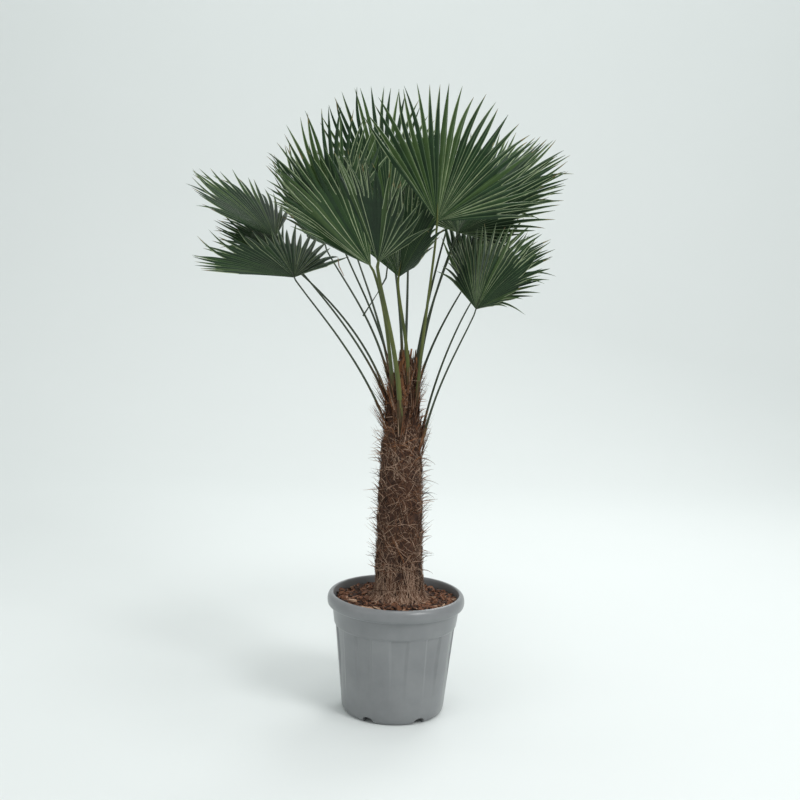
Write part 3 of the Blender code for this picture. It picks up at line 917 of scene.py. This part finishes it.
def cad_reach(tree, q, f):
    """Length of the solid's leaflet at this angle, found from its tip inward."""
    full = leaf_length(q, f)
    stop = split_length(q, f) + 0.010
    r = full
    while r > stop:
        if tree.find(Vector(blade_point(q, r, f)))[2] < REACHED:
            return r
        r -= SEARCH_STEP
    return full


def make_fan(number, f):
    """One fan: pleated leaflets, joined as far as the split and free beyond it."""
    node = "frond_%02d" % number
    tree = cad_tips(node)
    qs = leaflet_edges(f)
    sheet = Sheet()
    base_tone = int(rng.choice([DEEP, GREEN], p=[0.55, 0.45]))
    for k in range(len(qs) - 1):
        q = (qs[k] + qs[k + 1]) / 2
        half_q = radians(qs[k + 1] - qs[k]) / 2
        reach = cad_reach(tree, q, f) * rng.uniform(0.965, 1.0)
        split = split_length(q, f) * rng.uniform(0.94, 1.03)
        nod = rng.normal(0, NOD)
        sway = rng.normal(0, SWAY)
        radii = list(np.linspace(0.002, split, CORE_STEPS + 1))
        radii += list(split + (reach - split) * np.linspace(0, 1, FREE_STEPS + 1)[1:])
        points = []
        for r in radii:
            u = max(0.0, (r - split) / (reach - split))
            wide = half_q * min(r, split) * (1.0 if u == 0 else 0.86 * (1 - u ** 1.6) + 0.02)
            deep = (PLEAT + PLEAT_TIP * u) * wide
            m = blade_normal(q, r, f)
            centre = blade_point(q, r, f)
            across = unit(blade_point(q + 0.5, r, f) - blade_point(q - 0.5, r, f))
            centre = centre + m * nod * u ** 2 + across * sway * u ** 2
            if u == 0:
                left = blade_point(qs[k], r, f)
                right_edge = blade_point(qs[k + 1], r, f)
            else:
                left = centre - across * wide
                right_edge = centre + across * wide
            left = left + m * deep
            right_edge = right_edge + m * deep
            rib = centre - m * deep * 0.6
            edge = min(EDGE_WIDE, wide * 0.3)
            core = min(RIB_HALF, wide * 0.2)
            points += [left, left + (rib - left) * edge / max(wide, 1e-6),
                       rib - across * core, rib + across * core,
                       right_edge + (rib - right_edge) * edge / max(wide, 1e-6), right_edge]
        # painted highlight: these draws decide which leaflets get the pale edge tone, from the hub on or
        # only where free
        highlit_edges = rng.uniform() < EDGE_HIGHLIGHT_SHARE
        own_green = rng.uniform() < OWN_GREEN_SHARE
        tone = base_tone if own_green else int(rng.choice([DEEP, GREEN, FRESH]))
        tipped = rng.uniform() < TIPPED.get(number, TIPPED_SHARE)
        pale = rng.uniform() < FREE_EDGE_HIGHLIGHT_SHARE
        slots = []
        for s in range(len(radii) - 1):
            free = s >= CORE_STEPS
            longer = rng.uniform() < TIPPED.get(number, LONG_TIP_SHARE)
            last = s >= len(radii) - 2 - int(longer)
            if last and tipped:
                slots += [TIP] * 5
                continue
            # painted highlight: the edge strips take the pale edge tone in place of light on the pleats
            edge_slot = EDGE_HIGHLIGHT if (free and pale) or highlit_edges else tone
            slots += [edge_slot, tone, RIB, tone, edge_slot]
        sheet.add(points, grid_faces(len(radii), 6, False), slots)
    sheet.piece("fan_%02d" % number, LEAF_TONES, smooth=False, nodes=(node,))


def make_stalk(number, f):
    """One stalk, browned at its foot, that runs a little way under its blade."""
    path = stalk_path(f, STALK_STEPS)
    m = blade_normal(0.0, 0.05, f)
    for out, below, _ in STALK_TAIL:
        path.append(blade_point(0.0, out, f) - m * below)
    sides = STALK_SIDES
    points = []
    total = len(path)
    tail = total - len(STALK_TAIL)
    ref = np.array([cos(radians(f["foot_az"])), sin(radians(f["foot_az"])), 0.0])
    for k in range(total):
        ahead_k = unit(path[min(k + 1, total - 1)] - path[max(k - 1, 0)])
        share = k / (total - 1)
        r = f["thick"] * (1.0 - 0.52 * share ** 0.7)
        r *= 1.0 + 0.30 * max(0.0, 1 - share / 0.12)
        r *= min(1.0, 0.35 + 0.65 * share / 0.05)
        if k >= tail:
            r = f["thick"] * STALK_TAIL[k - tail][2]
        flat = unit(np.cross(ahead_k, ref))
        rise = np.cross(flat, ahead_k)
        for i in range(sides):
            turn = 2 * pi * i / sides
            keel = 0.92 if sin(turn) > 0 else 0.78
            points.append(path[k] + flat * r * 1.15 * cos(turn) + rise * r * keel * sin(turn))
    faces = grid_faces(total, sides, True)
    faces.append(tuple(reversed(range(sides))))
    faces.append(tuple(range((total - 1) * sides, total * sides)))
    sheet = Sheet()
    browned = [rng.uniform() < 1.25 - 0.25 * (i // sides) for i in range(len(faces) - 2)]
    sheet.add(points, faces, [int(b) for b in browned] + [1, 0])
    tone = STALK_OLIVE if f["thick"] > 0.005 else STALK_GREY
    sheet.piece("leaf_stalk_%02d" % number, [tone, STALK_FOOT], nodes=("stalk_%02d" % number,))


def make_stalk_fibres():
    """Torn sheath fibres that wrap each stalk's foot and run up along it."""
    sheet = Sheet()
    shares = np.linspace(0, 1, 6)
    for f in FRONDS:
        path = stalk_path(f, STALK_STEPS)
        out = np.array([cos(radians(f["foot_az"])), sin(radians(f["foot_az"])), 0.0])
        side = np.array([-out[1], out[0], 0.0])
        for _ in range(FOOT_STRANDS):
            turn = rng.uniform(-1.6, 1.6)
            away = out * cos(turn) + side * sin(turn)
            length = rng.uniform(0.025, 0.075)
            start = path[0] + side * sin(turn) * 0.010 - out * 0.003
            start = start + np.array([0, 0, rng.uniform(-0.030, 0.012)])
            way = unit(path[3] - path[0]) + away * rng.uniform(-0.05, 0.28) + side * rng.normal(0, 0.07)
            strip = [start + away * f["thick"] * 0.9 + unit(way) * length * s
                     + away * 0.006 * s * s for s in shares]
            wide = rng.uniform(0.0012, 0.0032)
            slot = int(rng.choice([DARK, BROWN, PALE, ORANGE], p=[0.32, 0.36, 0.14, 0.18]))
            strand(sheet, strip, [wide * (1 - 0.85 * s) for s in shares], [away] * 6, slot)
    sheet.piece("sheath_fibres", FIBRE_TONES)


# dried scraps that hang under the crown, as read off the photograph: column and row in
# pixels and a depth y in metres for each point, then the width and the tone
PHOTO_SIDE = 800.0
PHOTO_FOCAL = CAMERA_LENS / SENSOR_WIDTH * PHOTO_SIDE
SCRAPS = [
    ([(388, 262, -0.175), (386, 278, -0.165), (377, 294, -0.160), (370, 305, -0.158),
      (363, 316, -0.158)], 0.0046, 0),
    ([(338, 258, -0.100), (339, 266, -0.100), (344, 276, -0.100)], 0.0030, 2),
]


def from_photo(column, row, depth):
    """The point at this depth that the camera sees at this pixel."""
    way = np.array(ahead + right * ((column - PHOTO_SIDE / 2) / PHOTO_FOCAL)
                   + above * ((PHOTO_SIDE / 2 - row) / PHOTO_FOCAL))
    place = np.array(CAMERA_PLACE)
    return place + way * (depth - place[1]) / way[1]


def make_scraps():
    """Each scrap as two crossed strips down its line."""
    sheet = Sheet()
    for points, wide, slot in SCRAPS:
        path = [from_photo(*p) for p in points]
        widths = [wide * (0.7 + 0.3 * sin(2.0 * k)) for k in range(len(path))]
        for turn in (0.0, 1.3):
            away = np.array([sin(turn), -cos(turn), 0.0])
            strand(sheet, path, widths, [away] * len(path), slot)
    sheet.piece("dried_scraps", [STALK_GREY, FIBRE_TONES[BROWN], FIBRE_TONES[PALE]])


for number, row in enumerate(FRONDS, 1):
    make_fan(number, row)
    make_stalk(number, row)
make_stalk_fibres()
make_scraps()
